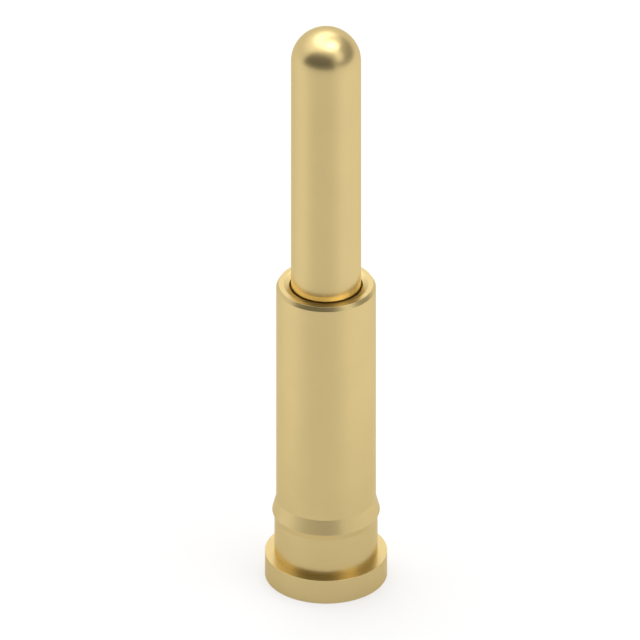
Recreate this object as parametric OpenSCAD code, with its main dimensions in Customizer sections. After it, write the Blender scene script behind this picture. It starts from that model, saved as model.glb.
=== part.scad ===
// Spring-loaded contact pin: a turned barrel with a solder flange and a retaining barb,
// a round-nosed plunger held in by the barrel's rolled lip, and the coil spring behind it.
// Millimetres. The axis is Z, and the solder face lies on z = 0.

/* [Barrel] */
// Outside diameter of the barrel
barrel_d = 1.52; // [1.46:0.01:1.54]
// Height of the rim above the solder face
barrel_h = 5.12; // [4.8:0.02:7]
// Diameter of the bore that holds the spring and guides the plunger's tail
bore_d = 1.27; // [1.22:0.01:1.36]
// Thickness of the floor under the bore
floor_t = 0.5; // [0.35:0.01:0.7]
// Diameter of the drill point left in the floor
drill_d = 0.7; // [0.3:0.05:0.8]
// Full angle of the drill point, in degrees
drill_angle = 118; // [110:1:140]

/* [Rim] */
// Thickness of the rolled lip that keeps the plunger in
lip_t = 0.16; // [0.1:0.01:0.25]
// How far the rim's chamfer reaches inwards
rim_chamfer_w = 0.038; // [0.02:0.002:0.06]
// How far the rim's chamfer reaches down
rim_chamfer_h = 0.062; // [0.03:0.002:0.12]
// Width of the flat ring on top of the rim
rim_flat_w = 0.075; // [0.03:0.005:0.075]
// How far the rolled lip falls from the flat ring to the mouth
lip_fall = 0.025; // [0.005:0.005:0.04]

/* [Flange and barb] */
// Diameter of the solder flange
flange_d = 1.86; // [1.7:0.01:2.2]
// Thickness of the solder flange
flange_t = 0.4; // [0.25:0.01:0.6]
// Diameter of the collar between the flange and the barb
collar_d = 1.57; // [1.55:0.005:1.6]
// Height of the collar
collar_h = 0.63; // [0.3:0.01:0.8]
// Diameter of the barb at its crest
barb_d = 1.64; // [1.61:0.005:1.69]
// Height of the barb's short back cone, under the crest
barb_back_h = 0.105; // [0.06:0.005:0.25]
// Height of the barb's long lead-in cone, above the crest
barb_lead_h = 0.23; // [0.15:0.01:0.4]

/* [Plunger] */
// Diameter of the plunger's stem and of its round nose
plunger_d = 1.07; // [1:0.01:1.12]
// How far the nose stands above the rim when the pin is free
reach = 4.47; // [2:0.01:5.5]
// Bevel at both ends of the tail
tail_bevel = 0.03; // [0.01:0.005:0.04]
// Length of the spigot that centres the spring on the tail
spigot_h = 0.25; // [0.15:0.01:0.4]

/* [Spring] */
// Diameter of the spring's wire
wire_d = 0.15; // [0.11:0.005:0.16]
// Number of coils, with one closed coil at each end
coils = 11.5; // [8.5:0.5:12.5]
// How far the plunger can be pushed in
travel = 1.4; // [0.8:0.05:1.5]
// Length that the spring could still give at full travel
reserve = 0.25; // [0.1:0.01:0.3]

/* [Clearances] */
// Radial running clearance between the stem and the mouth
mouth_gap = 0.025; // [0.015:0.005:0.03]
// Radial running clearance between the tail and the bore
tail_gap = 0.02; // [0.01:0.005:0.03]
// Radial clearance between the spring and the bore
spring_gap = 0.035; // [0.02:0.005:0.05]
// Radial clearance between the spigot and the inside of the spring
spigot_gap = 0.05; // [0.03:0.005:0.08]
// Gap between neighbouring closed coils
coil_gap = 0.008; // [0.005:0.001:0.015]

/* [Hidden] */
$fn = 96;

gold = "#d8bd7a";
steel = "#c9c6bc";

// Radii
barrel_r = barrel_d / 2;
ridge_r = barrel_r - rim_chamfer_w;
bore_r = bore_d / 2;
plunger_r = plunger_d / 2;
mouth_r = plunger_r + mouth_gap;
tail_r = bore_r - tail_gap;
lip_corner = tail_bevel + tail_gap / 2;
wire_r = wire_d / 2;
coil_r = bore_r - spring_gap - wire_r;
spigot_r = coil_r - wire_r - spigot_gap;

// Heights on the barrel
collar_z = flange_t + collar_h;
crest_z = collar_z + barb_back_h;
wall_z = crest_z + barb_lead_h;
mouth_z = barrel_h - lip_fall;
seat_z = mouth_z - lip_t;
drill_h = drill_d / 2 / tan(drill_angle / 2);

// Spring: the closed coils lie a wire and a gap apart, and the tail rests on its top end
closed_coils = 1;
closed_pitch = wire_d + coil_gap;
solid_h = coils * closed_pitch;
spring_h = solid_h + travel + reserve;
spring_top_z = floor_t + spring_h;

// Smoothness of the spring: rings of points on each coil, points in each ring,
// and the share of the open coils over which the pitch eases in and out
coil_rings = 18;
ring_points = 8;
ease = 0.12;

// Spring's end faces are ground flat, so its outline is cut at both seats
function ground(z) = min(max(z, 0), spring_h);

// Share of the open length that is used after share t of the open coils
function opened(t) =
    t <= 0 ? 0 :
    t < ease ? t * t / (2 * ease * (1 - ease)) :
    t <= 1 - ease ? (t - ease / 2) / (1 - ease) :
    t < 1 ? 1 - opened(1 - t) :
    1;

// Height of the wire's centre above the lower seat, after a number of turns
function wire_z(turns) =
    turns * closed_pitch
    + (spring_h - solid_h) * opened((turns - closed_coils) / (coils - 2 * closed_coils));

// One point on the wire's skin
function wire_point(turns, around) =
    let (r = coil_r + wire_r * cos(around))
    [
        r * cos(360 * turns),
        r * sin(360 * turns),
        ground(wire_z(turns) + wire_r * sin(around))
    ];

module barrel_outline() {
    polygon([
        [0, 0],
        [flange_d / 2, 0],
        [flange_d / 2, flange_t],
        [collar_d / 2, flange_t],
        [collar_d / 2, collar_z],
        [barb_d / 2, crest_z],
        [barrel_r, wall_z],
        [barrel_r, barrel_h - rim_chamfer_h],
        [ridge_r, barrel_h],
        [ridge_r - rim_flat_w, barrel_h],
        [mouth_r, mouth_z],
        [0, mouth_z]
    ]);
}

// The corner under the lip is left by rolling, and clears the tail's bevel by half the tail's gap
module bore_outline() {
    polygon([
        [0, floor_t - drill_h],
        [drill_d / 2, floor_t],
        [bore_r, floor_t],
        [bore_r, seat_z - lip_corner],
        [bore_r - lip_corner, seat_z],
        [mouth_r, seat_z],
        [mouth_r, barrel_h],
        [0, barrel_h]
    ]);
}

module barrel() {
    color(gold)
        rotate_extrude()
            difference() {
                barrel_outline();
                bore_outline();
            }
}

// The stem's flat end sits inside the nose's circle, level with its centre
module stem_outline() {
    nose_z = barrel_h + reach - plunger_r;
    intersection() {
        translate([0, nose_z]) circle(r = plunger_r);
        translate([0, nose_z]) square(plunger_r);
    }
    translate([0, seat_z]) square([plunger_r, nose_z - seat_z]);
}

module tail_outline() {
    polygon([
        [0, spring_top_z - spigot_h],
        [spigot_r - tail_bevel, spring_top_z - spigot_h],
        [spigot_r, spring_top_z - spigot_h + tail_bevel],
        [spigot_r, spring_top_z],
        [tail_r - tail_bevel, spring_top_z],
        [tail_r, spring_top_z + tail_bevel],
        [tail_r, seat_z - tail_bevel],
        [tail_r - tail_bevel, seat_z],
        [0, seat_z]
    ]);
}

module plunger() {
    color(gold)
        rotate_extrude()
            union() {
                stem_outline();
                tail_outline();
            }
}

module spring() {
    rings = round(coils * coil_rings);
    around = 360 / ring_points;
    skin = [
        for (i = [0 : rings], j = [0 : ring_points - 1])
            wire_point(i * coils / rings, j * around)
    ];
    sides = [
        for (i = [0 : rings - 1], j = [0 : ring_points - 1])
            let (
                a = i * ring_points + j,
                b = i * ring_points + (j + 1) % ring_points
            )
            each [[a, b, b + ring_points], [a, b + ring_points, a + ring_points]]
    ];
    // Each end is a fan from the point opposite its ground side
    first_hub = ring_points / 4;
    last_hub = 3 * ring_points / 4;
    first = [
        for (j = [1 : ring_points - 2])
            [first_hub, (first_hub + j + 1) % ring_points, (first_hub + j) % ring_points]
    ];
    last = [
        for (j = [1 : ring_points - 2])
            [last_hub, (last_hub + j) % ring_points, (last_hub + j + 1) % ring_points]
                + rings * ring_points * [1, 1, 1]
    ];
    color(steel)
        translate([0, 0, floor_t])
            polyhedron(points = skin, faces = concat(sides, first, last));
}

barrel();
plunger();
spring();
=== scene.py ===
"""A gold-plated pogo pin standing on its solder flange, on a plain pale floor in a soft studio.

The barrel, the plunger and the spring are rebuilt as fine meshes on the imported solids' own outlines,
with the small edge breaks that turning leaves. Lengths are in metres, and MM is one millimetre.
"""

import math

import bpy
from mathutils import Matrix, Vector


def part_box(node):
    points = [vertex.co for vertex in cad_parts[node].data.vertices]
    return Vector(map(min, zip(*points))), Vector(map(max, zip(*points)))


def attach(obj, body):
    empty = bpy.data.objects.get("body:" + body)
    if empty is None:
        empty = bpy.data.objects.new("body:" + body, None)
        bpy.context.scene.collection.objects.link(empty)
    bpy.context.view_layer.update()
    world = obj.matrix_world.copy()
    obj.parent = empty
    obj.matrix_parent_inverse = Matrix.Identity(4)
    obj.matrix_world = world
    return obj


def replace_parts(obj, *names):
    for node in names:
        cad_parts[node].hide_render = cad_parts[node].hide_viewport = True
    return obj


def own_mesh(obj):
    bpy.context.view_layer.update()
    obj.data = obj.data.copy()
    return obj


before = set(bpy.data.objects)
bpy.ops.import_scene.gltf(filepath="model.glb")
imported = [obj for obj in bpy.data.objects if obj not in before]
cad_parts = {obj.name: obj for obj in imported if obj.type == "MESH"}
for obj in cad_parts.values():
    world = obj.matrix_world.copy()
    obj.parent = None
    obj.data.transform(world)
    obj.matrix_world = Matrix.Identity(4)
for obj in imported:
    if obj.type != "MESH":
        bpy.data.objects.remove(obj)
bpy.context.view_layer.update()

MM = 0.001

# Meshes
TURN_STEPS = 256          # steps of a turned piece round its axis
EDGE_BREAK = 0.003 * MM   # radius left on a turned outer corner
ROLLED_BEND = 0.06 * MM   # radius of the lip's shallow bend
SHALLOW = 0.4             # bends under this angle, in radians, are rolled and not turned
BREAK_TURN = 0.1          # turn of the outline at each step round a corner, in radians
BREAK_SHARE = 0.35        # most of a short face that a rounding may take
NOSE_STEPS = 48           # steps along the nose's quarter circle
SUPPORT = 0.004 * MM      # width of the strip that keeps shading true beside an edge break
WIRE = 0.15 * MM          # diameter of the spring's wire
COILS = 11.5              # turns of the spring
COIL_STEPS = 64           # steps of the wire round one coil
WIRE_STEPS = 20           # steps round the wire's own section
CLOSED_PITCH = 0.158 * MM # rise of a closed coil
EASE = 0.12               # share of the open coils over which their pitch eases in and out

# View
PIXEL = 0.01522 * MM      # size of a picture element on the object
PICTURE = 640             # picture elements across the frame
ELEVATION = math.radians(30.7)
VIEW_X = -0.0919 * MM     # point that the middle of the frame looks at
VIEW_Z = 4.469 * MM
CAMERA_AWAY = 0.25
CAMERA_SEES = (0.01, 10.0)  # nearest and farthest distance that it draws

# Studio: brightness of the ground and of the sky, and the soft patches in them. A patch has the azimuth
# (0 in front, positive to the right) and the elevation of its middle, its inner and outer radius, all in
# degrees, and its gain. The ones on the ground go by azimuth alone
GROUND = 1.05
SKY_LOW = 0.9
SKY_TOP = 1.4
HORIZON = 0.01            # half height of the step from ground to sky
DARK_WALL = (-25, 0, 50, 60, -0.85)
RIGHT_WALL = (80, 45, 40, 60, -0.6)
RIGHT_LAMP = (55, 32, 1, 21, 2.0)
TOP_LAMP = (60, 70, 15, 25, 2.5)
BACK_LAMP = (160, 75, 30, 40, 1.0)
FRONT_GROUND = (-10, 0, 1, 70, -0.2)
BACK_GROUND = (190, 0, 1, 70, -0.15)

# Floor: its half side, its tone, its glow to the camera and its lower glow in the plating, which is a painted
# shade on its reflection near the pin, and the radii in millimetres between which the plating stops mirroring
# it
FLOOR_SIDE = 1.5
FLOOR_TONE = 0.42
FLOOR_GLOW = 0.47
PAINTED_SHADE_MIRROR_GLOW = 0.30
MIRRORED_CARD = (1.6, 7.5)
FLOOR_BELOW = 0.001 * MM  # keeps the card just clear of the solder face

# Metals: how much light each returns face on, and the tint of both where they are seen edge on
GOLD = (0.67, 0.523, 0.245)
STEEL = (0.58, 0.56, 0.52)
GRAZING = (0.96, 0.90, 0.72)

# Marks in the metals, in steps to a millimetre: rings of the tool, grain, and clouds in the plate
RINGS = 45.0
GRAIN = 60.0
CLOUDS = 1.6
FIBRES = 0.6              # and the fibres in the card


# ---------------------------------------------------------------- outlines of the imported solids

def outline(node):
    """The node's half section as (radius, height) points, from the middle of its foot to its top."""
    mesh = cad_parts[node].data

    def ring_of(vertex):
        x, y, z = mesh.vertices[vertex].co
        return round(math.hypot(x, y) / MM, 4), round(z / MM, 4)

    count, beside = {}, {}
    for vertex in mesh.vertices:
        ring = ring_of(vertex.index)
        count[ring] = count.get(ring, 0) + 1
    for edge in mesh.edges:
        a, b = (ring_of(v) for v in edge.vertices)
        beside.setdefault(a, set()).add(b)
        beside.setdefault(b, set()).add(a)
    # a corner's ring is full, and the rings inside a curved face are sparse
    full = max(count.values()) / 2
    stops = {ring for ring in count if count[ring] > full or ring[0] == 0}

    def next_stop(ring, passed):
        seen, ahead = {ring}, [ring]
        while ahead:
            for other in beside[ahead.pop()] - seen:
                seen.add(other)
                if other not in stops:
                    ahead.append(other)
                elif other not in passed:
                    return other
        return None

    chain = [min((ring for ring in stops if ring[0] > 0), key=lambda ring: (ring[1], -ring[0]))]
    while chain[-1][0] > 0:
        chain.append(next_stop(chain[-1], chain))
    foot = (0.0, chain[0][1])
    return [Vector((radius * MM, height * MM)) for radius, height in [foot] + chain]


def with_round_nose(points):
    """The outline with its last stretch, from the stem to the axis, as one true quarter circle."""
    radius, centre = points[-2]
    arc = [
        Vector((radius * math.cos(a), centre + radius * math.sin(a)))
        for a in (math.pi / 2 * i / NOSE_STEPS for i in range(1, NOSE_STEPS))
    ]
    return points[:-1] + arc + points[-1:]


def with_edge_breaks(points):
    """The outline with its outer corners rounded, and a support point on each side of every corner."""
    done = [points[0]]
    for before, corner, after in zip(points, points[1:], points[2:]):
        inward, outward = corner - before, after - corner
        turn = -inward.angle_signed(outward)      # positive on an outer corner
        if abs(turn) < BREAK_TURN:
            done.append(corner)
            continue
        radius = 0.0 if turn < 0 else ROLLED_BEND if turn < SHALLOW else EDGE_BREAK
        reach = min(radius * math.tan(turn / 2), BREAK_SHARE * min(inward.length, outward.length))
        start, end = corner - inward.normalized() * reach, corner + outward.normalized() * reach
        if inward.length > 2 * (reach + SUPPORT):
            done.append(start - inward.normalized() * SUPPORT)
        if turn < 0:
            done.append(corner)
        else:
            steps = math.ceil(turn / BREAK_TURN)
            done += [rounded(start, corner, end, turn, i / steps) for i in range(steps + 1)]
        if outward.length > 2 * (reach + SUPPORT):
            done.append(end + outward.normalized() * SUPPORT)
    done.append(points[-1])
    return done


def rounded(start, corner, end, turn, t):
    """The point at share t of the circular arc that rounds a corner, from start to end."""
    weight = math.cos(turn / 2)
    a, b, c = (1 - t) ** 2, 2 * t * (1 - t) * weight, t ** 2
    return (start * a + corner * b + end * c) / (a + b + c)


# ---------------------------------------------------------------- meshes

def make_piece(name, vertices, faces, material):
    mesh = bpy.data.meshes.new(name)
    mesh.from_pydata(vertices, [], faces)
    mesh.validate()
    mesh.shade_smooth()
    mesh.set_sharp_from_angle(angle=2 * BREAK_TURN)
    mesh.materials.append(material)
    piece = bpy.data.objects.new(name, mesh)
    bpy.context.scene.collection.objects.link(piece)
    return piece


def turned(name, points, material):
    """A closed solid of revolution on an outline that starts and finishes on the axis."""
    vertices, first = [], []
    for ring in points:
        first.append(len(vertices))
        steps = TURN_STEPS if ring.x > 0 else 1
        for i in range(steps):
            a = 2 * math.pi * i / TURN_STEPS
            vertices.append((ring.x * math.cos(a), ring.x * math.sin(a), ring.y))
    faces = []
    for k in range(len(points) - 1):
        low, high = first[k], first[k + 1]
        for i in range(TURN_STEPS):
            j = (i + 1) % TURN_STEPS
            if points[k].x == 0:
                faces.append((low, high + j, high + i))
            elif points[k + 1].x == 0:
                faces.append((low + i, low + j, high))
            else:
                faces.append((low + i, low + j, high + j, high + i))
    return make_piece(name, vertices, faces, material)


def eased(t):
    """Share of the spring's open length that is used after share t of its open coils."""
    if t <= 0:
        return 0.0
    if t >= 1:
        return 1.0
    if t < EASE:
        return t * t / (2 * EASE * (1 - EASE))
    if t > 1 - EASE:
        return 1 - eased(1 - t)
    return (t - EASE / 2) / (1 - EASE)


def coil_spring(name, low, high, material):
    """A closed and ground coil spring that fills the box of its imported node."""
    height = high.z - low.z
    coil_radius = high.x - WIRE / 2
    steps = round(COILS * COIL_STEPS)
    vertices = []
    for i in range(steps + 1):
        turns = COILS * i / steps
        opened = eased((turns - 1) / (COILS - 2))
        centre = turns * CLOSED_PITCH + (height - COILS * CLOSED_PITCH) * opened
        for j in range(WIRE_STEPS):
            b = 2 * math.pi * j / WIRE_STEPS
            r = coil_radius + WIRE / 2 * math.cos(b)
            z = min(max(centre + WIRE / 2 * math.sin(b), 0.0), height)
            a = 2 * math.pi * turns
            vertices.append((r * math.cos(a), r * math.sin(a), low.z + z))
    faces = [tuple(reversed(range(WIRE_STEPS)))]
    for i in range(steps):
        for j in range(WIRE_STEPS):
            a, b = i * WIRE_STEPS + j, i * WIRE_STEPS + (j + 1) % WIRE_STEPS
            faces.append((a, b, b + WIRE_STEPS, a + WIRE_STEPS))
    faces.append(tuple(steps * WIRE_STEPS + j for j in range(WIRE_STEPS)))
    return make_piece(name, vertices, faces, material)


# ---------------------------------------------------------------- materials

class Nodes:
    """Short calls for building one node tree."""

    def __init__(self, tree):
        self.tree = tree
        tree.nodes.clear()

    def add(self, kind, **settings):
        node = self.tree.nodes.new(kind)
        for key, value in settings.items():
            setattr(node, key, value)
        return node

    def join(self, source, target):
        self.tree.links.new(source, target)

    def feed(self, socket, value):
        if hasattr(value, "is_output"):
            self.join(value, socket)
        else:
            socket.default_value = value

    def math(self, operation, *values):
        node = self.add("ShaderNodeMath", operation=operation)
        for socket, value in zip(node.inputs, values):
            self.feed(socket, value)
        return node.outputs[0]

    def ramp(self, value, low, high, to_low=0.0, to_high=1.0, smooth=True):
        """value carried from low..high to to_low..to_high, and held beyond."""
        node = self.add("ShaderNodeMapRange", interpolation_type="SMOOTHSTEP" if smooth else "LINEAR")
        ends = {"Value": value, "From Min": low, "From Max": high, "To Min": to_low, "To Max": to_high}
        for name, end in ends.items():
            self.feed(node.inputs[name], end)
        return node.outputs["Result"]

    def noise(self, dimensions, scale, detail, vector=None, w=None):
        node = self.add("ShaderNodeTexNoise", noise_dimensions=dimensions)
        node.inputs["Scale"].default_value = scale
        node.inputs["Detail"].default_value = detail
        if vector is not None:
            self.join(vector, node.inputs["Vector"])
        if w is not None:
            self.join(w, node.inputs["W"])
        return node.outputs["Fac"]


def along_the_cut(n):
    """A point in millimetres, and how far it is along the turned outline, for rings of marks."""
    place = n.add("ShaderNodeTexCoord").outputs["Object"]
    scaled = n.add("ShaderNodeVectorMath", operation="SCALE")
    n.join(place, scaled.inputs[0])
    scaled.inputs["Scale"].default_value = 1 / MM
    split = n.add("ShaderNodeSeparateXYZ")
    n.join(scaled.outputs[0], split.inputs[0])
    x, y, z = split.outputs
    radius = n.math("SQRT", n.math("ADD", n.math("MULTIPLY", x, x), n.math("MULTIPLY", y, y)))
    return scaled.outputs[0], n.math("ADD", z, radius)


def plated(name, colour, rough, tint_swing, mark_depth, grain_depth):
    """Satin plating over a turned surface: fine rings of the tool, a finer grain, and clouds in the plate."""
    material = bpy.data.materials.new(name)
    material.use_nodes = True
    n = Nodes(material.node_tree)
    place, cut = along_the_cut(n)
    marks = n.noise("1D", RINGS, 3.0, w=cut)
    grain = n.noise("3D", GRAIN, 2.0, vector=place)
    clouds = n.noise("3D", CLOUDS, 3.0, vector=place)

    tint = n.add("ShaderNodeMix", data_type="RGBA")
    n.join(n.ramp(clouds, 0.3, 0.7), tint.inputs["Factor"])
    tint.inputs["A"].default_value = (*[c * (1 - tint_swing) for c in colour], 1)
    tint.inputs["B"].default_value = (*[min(c * (1 + tint_swing), 1) for c in colour], 1)

    uneven = n.ramp(marks, 0.25, 0.75, -0.012, 0.012)
    spread = n.math("ADD", uneven, n.ramp(grain, 0.3, 0.7, -0.008, 0.008))
    roughness = n.math("ADD", spread, rough)

    rings = n.add("ShaderNodeBump")
    rings.inputs["Strength"].default_value = 1.0
    rings.inputs["Distance"].default_value = mark_depth
    n.join(marks, rings.inputs["Height"])
    pores = n.add("ShaderNodeBump")
    pores.inputs["Strength"].default_value = 1.0
    pores.inputs["Distance"].default_value = grain_depth
    n.join(grain, pores.inputs["Height"])
    n.join(rings.outputs[0], pores.inputs["Normal"])

    shader = n.add("ShaderNodeBsdfPrincipled")
    shader.inputs["Metallic"].default_value = 1.0
    n.join(tint.outputs["Result"], shader.inputs["Base Color"])
    n.join(roughness, shader.inputs["Roughness"])
    n.join(pores.outputs[0], shader.inputs["Normal"])
    shader.inputs["Specular Tint"].default_value = (*GRAZING, 1)
    out = n.add("ShaderNodeOutputMaterial")
    n.join(shader.outputs[0], out.inputs["Surface"])
    return material


def floor_material():
    """Pale, overexposed card with a faint fibre. Away from the pin the plating mirrors the studio instead."""
    material = bpy.data.materials.new("pale_floor")
    material.use_nodes = True
    n = Nodes(material.node_tree)
    place, _ = along_the_cut(n)
    fibre = n.noise("3D", FIBRES, 2.0, vector=place)
    tone = n.add("ShaderNodeMix", data_type="RGBA")
    n.join(fibre, tone.inputs["Factor"])
    tone.inputs["A"].default_value = (*[FLOOR_TONE - 0.005] * 3, 1)
    tone.inputs["B"].default_value = (*[FLOOR_TONE + 0.005] * 3, 1)
    card = n.add("ShaderNodeBsdfDiffuse")
    n.join(tone.outputs["Result"], card.inputs["Color"])
    mirrored = n.add("ShaderNodeLightPath").outputs["Is Glossy Ray"]
    # the card glows less to glossy rays than to the camera: a painted shade on its reflection in the plating
    # near the pin
    glow = n.add("ShaderNodeEmission")
    glow.inputs["Color"].default_value = (1, 1, 1, 1)
    n.join(n.ramp(mirrored, 0.0, 1.0, FLOOR_GLOW, PAINTED_SHADE_MIRROR_GLOW), glow.inputs["Strength"])
    lit = n.add("ShaderNodeAddShader")
    n.join(card.outputs[0], lit.inputs[0])
    n.join(glow.outputs[0], lit.inputs[1])
    gone = n.add("ShaderNodeBsdfTransparent")
    reach = n.add("ShaderNodeVectorMath", operation="LENGTH")
    n.join(place, reach.inputs[0])
    mix = n.add("ShaderNodeMixShader")
    away = n.ramp(reach.outputs["Value"], *MIRRORED_CARD)
    n.join(n.math("MULTIPLY", mirrored, away), mix.inputs["Fac"])
    n.join(lit.outputs[0], mix.inputs[1])
    n.join(gone.outputs[0], mix.inputs[2])
    out = n.add("ShaderNodeOutputMaterial")
    n.join(mix.outputs[0], out.inputs["Surface"])
    return material


# ---------------------------------------------------------------- studio

def toward(azimuth, elevation):
    """A direction: azimuth in degrees from the front, positive to the right, and elevation in degrees."""
    a, e = math.radians(azimuth), math.radians(elevation)
    return Vector((math.sin(a) * math.cos(e), -math.cos(a) * math.cos(e), math.sin(e)))


def patched(n, light, way, patches):
    """The light times the gain of each patch, whole within its inner radius and ending at its outer."""
    for azimuth, elevation, inner, outer, gain in patches:
        dot = n.add("ShaderNodeVectorMath", operation="DOT_PRODUCT")
        n.join(way, dot.inputs[0])
        dot.inputs[1].default_value = toward(azimuth, elevation)
        edge = math.cos(math.radians(outer))
        whole = math.cos(math.radians(inner))
        light = n.math("MULTIPLY", light, n.ramp(dot.outputs["Value"], edge, whole, 1.0, 1.0 + gain))
    return light


def studio_world():
    """The room round the pin: a pale ground, a pale sky with soft lamps in it, and a dark wall in front."""
    world = bpy.data.worlds.new("studio")
    world.use_nodes = True
    n = Nodes(world.node_tree)
    way = n.add("ShaderNodeTexCoord").outputs["Generated"]
    split = n.add("ShaderNodeSeparateXYZ")
    n.join(way, split.inputs[0])
    x, y, height = split.outputs

    # the ground's patches reach from the horizon to straight below, so they go by azimuth alone
    flat = n.add("ShaderNodeCombineXYZ")
    n.join(x, flat.inputs[0])
    n.join(y, flat.inputs[1])
    level = n.add("ShaderNodeVectorMath", operation="NORMALIZE")
    n.join(flat.outputs[0], level.inputs[0])

    ground = patched(n, GROUND, level.outputs[0], [FRONT_GROUND, BACK_GROUND])
    sky = n.ramp(height, 0.25, 0.85, SKY_LOW, SKY_TOP)
    sky = patched(n, sky, way, [DARK_WALL, RIGHT_WALL, RIGHT_LAMP, TOP_LAMP, BACK_LAMP])
    mix = n.add("ShaderNodeMix", data_type="FLOAT")
    n.join(n.ramp(height, -HORIZON, HORIZON), mix.inputs["Factor"])
    n.join(ground, mix.inputs["A"])
    n.join(sky, mix.inputs["B"])
    background = n.add("ShaderNodeBackground")
    background.inputs["Color"].default_value = (1, 1, 1, 1)
    n.join(mix.outputs["Result"], background.inputs["Strength"])
    out = n.add("ShaderNodeOutputWorld")
    n.join(background.outputs[0], out.inputs["Surface"])
    bpy.context.scene.world = world


def make_floor():
    side = FLOOR_SIDE
    floor = make_piece(
        "floor",
        [(x, y, -FLOOR_BELOW) for x, y in ((-side, -side), (side, -side), (side, side), (-side, side))],
        [(0, 1, 2, 3)],
        floor_material(),
    )


def make_camera():
    data = bpy.data.cameras.new("camera")
    data.type = "ORTHO"
    data.ortho_scale = PIXEL * PICTURE
    data.clip_start, data.clip_end = CAMERA_SEES
    camera = bpy.data.objects.new("camera", data)
    back = Vector((0, -math.cos(ELEVATION), math.sin(ELEVATION)))
    camera.location = Vector((VIEW_X, 0, VIEW_Z)) + back * CAMERA_AWAY
    camera.rotation_euler = (math.pi / 2 - ELEVATION, 0, 0)
    bpy.context.scene.collection.objects.link(camera)
    bpy.context.scene.camera = camera


# ---------------------------------------------------------------- the pin

gold = plated(
    "gold_plate", GOLD, rough=0.30, tint_swing=0.012, mark_depth=0.00012 * MM, grain_depth=0.00006 * MM
)
steel = plated(
    "spring_steel", STEEL, rough=0.28, tint_swing=0.02, mark_depth=0.0, grain_depth=0.0004 * MM
)

barrel = turned("barrel_turned", with_edge_breaks(outline("barrel")), gold)
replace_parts(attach(barrel, "barrel"), "barrel")

plunger = turned("plunger_turned", with_edge_breaks(with_round_nose(outline("plunger"))), gold)
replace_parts(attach(plunger, "plunger"), "plunger")

spring_low, spring_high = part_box("spring")
spring = coil_spring("spring_coil", spring_low, spring_high, steel)
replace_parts(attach(spring, "barrel"), "spring")
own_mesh(spring)

# ---------------------------------------------------------------- floor, light and camera

make_floor()
studio_world()
make_camera()
bpy.context.scene.view_settings.view_transform = "Standard"
